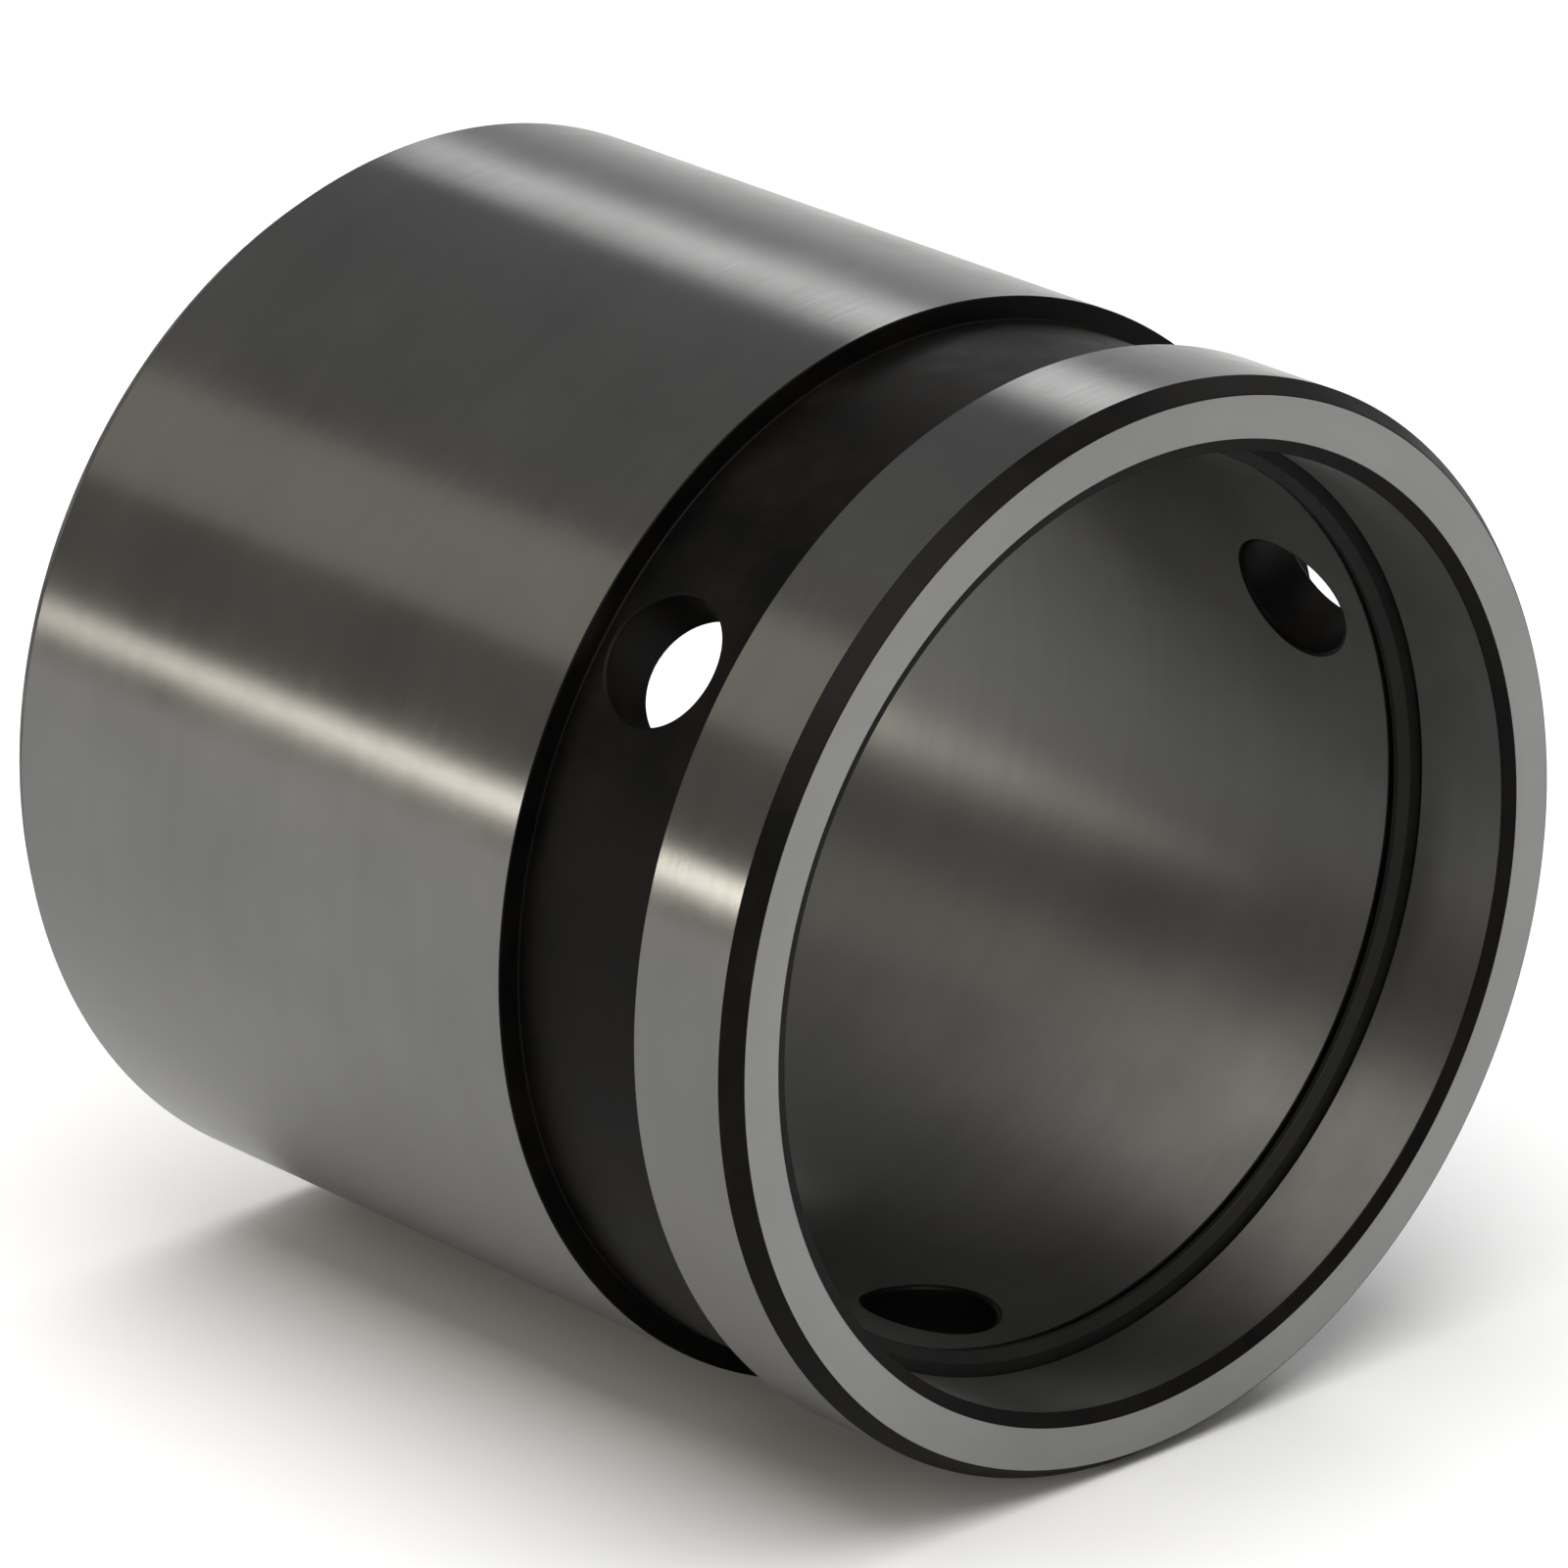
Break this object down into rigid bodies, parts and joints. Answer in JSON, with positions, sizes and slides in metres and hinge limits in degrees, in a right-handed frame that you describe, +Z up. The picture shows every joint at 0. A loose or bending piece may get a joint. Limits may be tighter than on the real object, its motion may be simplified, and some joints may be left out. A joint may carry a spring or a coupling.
{
  "type": "plain pin bush",
  "caption": "Hardened steel bush for a pin joint, with an outer grease groove, three radial grease holes and a rubber seal ring in its stepped bore.",
  "frame": {"origin": "centre of the bush, on its axis, halfway between the end faces", "axes": "+Y along the axis from the front, grooved end towards the rear end; +Z up, with the bush lying on its side"},
  "size_m": [0.1198, 0.116, 0.1198],
  "materials": {
    "ground_steel": "ground outside, bore and ends, with black unground grooves and outer chamfers",
    "seal_rubber": "matt black"
  },
  "bodies": {
    "root": {"bushing_sleeve": "ground_steel", "dust_seal_ring": "seal_rubber"}
  },
  "joints": []
}
